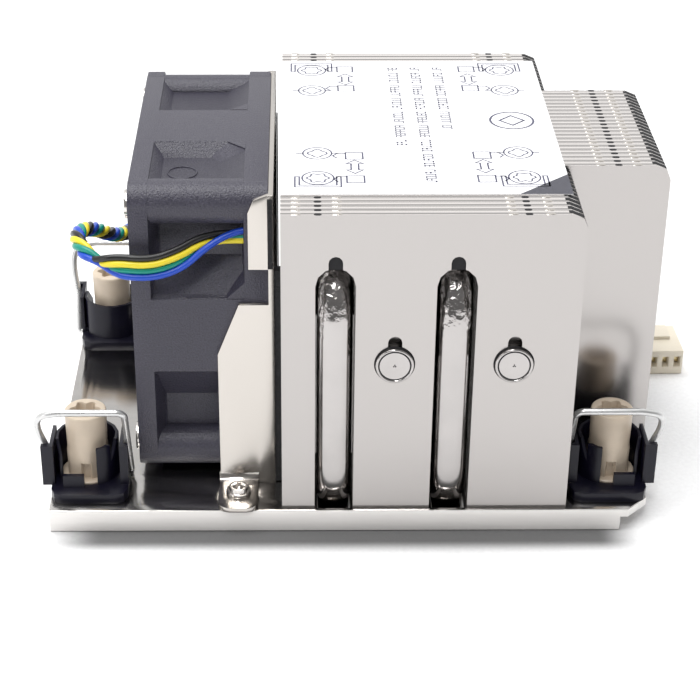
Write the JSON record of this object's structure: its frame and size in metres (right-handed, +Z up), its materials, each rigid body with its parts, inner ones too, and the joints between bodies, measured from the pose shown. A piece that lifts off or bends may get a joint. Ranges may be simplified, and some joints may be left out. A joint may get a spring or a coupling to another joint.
{
  "type": "active server cpu cooler",
  "caption": "Server CPU cooler: bent heat pipes run from a flat plate up through folded fins, an axial fan blows along them, and captive corner nuts with wire bails hold it down",
  "frame": {"origin": "centre of the base plate's underside, at contact height", "axes": "X along the air flow from the fan to the fins' outlet, Y across the flow away from the viewer, Z up from the contact face"},
  "size_m": [0.1349, 0.0952, 0.067],
  "materials": {
    "base_plate": "brushed, satin",
    "fins": "satin, nickel plated",
    "heat_pipe": "satin nickel plating over copper",
    "fan_plastic": "fine grain",
    "bracket": "nickel plated, smooth",
    "screw_steel": "plated",
    "bearing_steel": "ground",
    "magnet": "matt bonded ferrite",
    "stator_iron": "laminated",
    "board_green": "solder resist",
    "nut_plastic": "glass filled, slight sheen",
    "clip_plastic": "moulded, semi matt",
    "bail_wire": "bright drawn wire",
    "label_film": "matt film",
    "lead_sheath": "smooth insulation",
    "plug_plastic": "natural nylon",
    "contact_brass": "tinned"
  },
  "bodies": {
    "cooler": {"base_plate": "base_plate", "fins_near": "fins", "fins_centre": "fins", "fins_far": "fins", "heat_pipe_1": "heat_pipe", "heat_pipe_2": "heat_pipe", "heat_pipe_3": "heat_pipe", "heat_pipe_4": "heat_pipe", "fan_frame": "fan_plastic", "fan_bracket": "bracket", "bracket_screw_near": "screw_steel", "bracket_screw_far": "screw_steel", "fan_screw_1": "screw_steel", "fan_screw_2": "screw_steel", "fan_screw_3": "screw_steel", "fan_screw_4": "screw_steel", "bearing_front": "bearing_steel", "bearing_rear": "bearing_steel", "stator_core": "stator_iron", "fan_board": "board_green", "clip_near_left": "clip_plastic", "clip_near_right": "clip_plastic", "clip_far_left": "clip_plastic", "clip_far_right": "clip_plastic", "top_label": "label_film", "fan_lead": "lead_sheath", "lead_plug": "plug_plastic", "plug_contacts": "contact_brass"},
    "rotor": {"fan_impeller": "fan_plastic", "rotor_cup": "bearing_steel", "rotor_magnet": "magnet", "fan_shaft": "screw_steel"},
    "nut_near_left_turn": {"nut_near_left": "nut_plastic"},
    "bail_near_left_swing": {"bail_near_left": "bail_wire"},
    "nut_near_right_turn": {"nut_near_right": "nut_plastic"},
    "bail_near_right_swing": {"bail_near_right": "bail_wire"},
    "nut_far_left_turn": {"nut_far_left": "nut_plastic"},
    "bail_far_left_swing": {"bail_far_left": "bail_wire"},
    "nut_far_right_turn": {"nut_far_right": "nut_plastic"},
    "bail_far_right_swing": {"bail_far_right": "bail_wire"}
  },
  "joints": [
    {"name": "fan_spin", "type": "hinge", "parent": "cooler", "child": "rotor", "pos_m": [-0.028, 0, 0.037], "axis": [1, 0, 0], "continuous": true},
    {"name": "nut_near_left_spin", "type": "hinge", "parent": "cooler", "child": "nut_near_left_turn", "pos_m": [-0.0507, -0.029, 0.012], "axis": [0, 0, 1], "continuous": true},
    {"name": "bail_near_left_hinge", "type": "hinge", "parent": "cooler", "child": "bail_near_left_swing", "pos_m": [-0.0507, -0.028, 0.0061], "axis": [1, 0, 0], "range_deg": [-45, 0]},
    {"name": "nut_near_right_spin", "type": "hinge", "parent": "cooler", "child": "nut_near_right_turn", "pos_m": [0.0507, -0.029, 0.012], "axis": [0, 0, 1], "continuous": true},
    {"name": "bail_near_right_hinge", "type": "hinge", "parent": "cooler", "child": "bail_near_right_swing", "pos_m": [0.0507, -0.028, 0.0061], "axis": [1, 0, 0], "range_deg": [-45, 0]},
    {"name": "nut_far_left_spin", "type": "hinge", "parent": "cooler", "child": "nut_far_left_turn", "pos_m": [-0.0507, 0.029, 0.012], "axis": [0, 0, 1], "continuous": true},
    {"name": "bail_far_left_hinge", "type": "hinge", "parent": "cooler", "child": "bail_far_left_swing", "pos_m": [-0.0507, 0.028, 0.0061], "axis": [1, 0, 0], "range_deg": [0, 45]},
    {"name": "nut_far_right_spin", "type": "hinge", "parent": "cooler", "child": "nut_far_right_turn", "pos_m": [0.0507, 0.029, 0.012], "axis": [0, 0, 1], "continuous": true},
    {"name": "bail_far_right_hinge", "type": "hinge", "parent": "cooler", "child": "bail_far_right_swing", "pos_m": [0.0507, 0.028, 0.0061], "axis": [1, 0, 0], "range_deg": [0, 45]}
  ]
}
